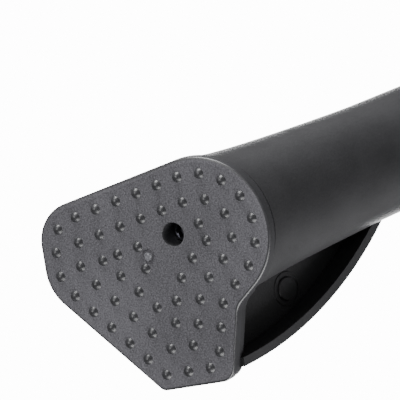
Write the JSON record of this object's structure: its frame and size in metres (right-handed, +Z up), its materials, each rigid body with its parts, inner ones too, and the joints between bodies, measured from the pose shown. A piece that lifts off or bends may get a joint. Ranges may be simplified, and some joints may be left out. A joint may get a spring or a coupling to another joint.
{
  "type": "bicycle side stand",
  "caption": "Adjustable bicycle side stand with a leaning leg, a widened foot with a studded non-slip sole, and a curved kick tab.",
  "frame": {"origin": "midway between the two frame bolts, on the face that meets the frame", "axes": "+X towards the front wheel, +Y outboard to the left, +Z up; the stand is down and its sole is level"},
  "size_m": [0.0908, 0.1727, 0.3048],
  "materials": {
    "cast_black": "black powder coat over die-cast aluminium, satin",
    "steel_zinc": "bright zinc plate",
    "steel_black": "black oxide, satin",
    "tube_black": "black anodised, drawn tube",
    "nylon_black": "glass-filled nylon, fine moulded grain",
    "sole_grey": "moulded non-slip pad with a coarse grain",
    "acetal": "natural acetal bearing plastic",
    "bronze": "sintered bronze, matt",
    "brass": "turned brass",
    "bumper_rubber": "black rubber"
  },
  "bodies": {
    "bracket": {"mount_bracket": "cast_black", "mount_bolts": "steel_black", "mount_washers": "steel_zinc", "stop_bumper": "bumper_rubber", "pivot_bolt": "steel_black", "pivot_nut": "steel_zinc", "pivot_washers": "steel_zinc", "detent_spring": "steel_zinc", "detent_screw": "steel_black"},
    "detent": {"detent_plunger": "steel_zinc"},
    "leg": {"leg_head": "cast_black", "pivot_bushes": "bronze", "leg_tube": "tube_black", "tube_pins": "steel_zinc", "tube_plug": "acetal"},
    "foot": {"foot_shell": "nylon_black", "sole_pad": "sole_grey", "foot_screw": "steel_black", "screw_insert": "brass", "guide_bush": "acetal", "clamp_collar": "nylon_black", "clamp_bolt": "steel_black", "clamp_nut": "steel_zinc"}
  },
  "joints": [
    {"name": "leg_swing", "type": "hinge", "parent": "bracket", "child": "leg", "pos_m": [0, 0.025, -0.026], "axis": [0, 0.9409, 0.3387], "range_deg": [0, 98]},
    {"name": "leg_extend", "type": "slide", "parent": "leg", "child": "foot", "axis": [0.0924, 0.3373, -0.9369], "range_m": [0, 0.04]},
    {"name": "detent_travel", "type": "slide", "parent": "bracket", "child": "detent", "axis": [0, -0.3387, 0.9409], "range_m": [0, 0.0012], "stiffness_N_per_m": 2500, "springref_m": -0.0005, "deforming": ["detent_spring"]}
  ]
}
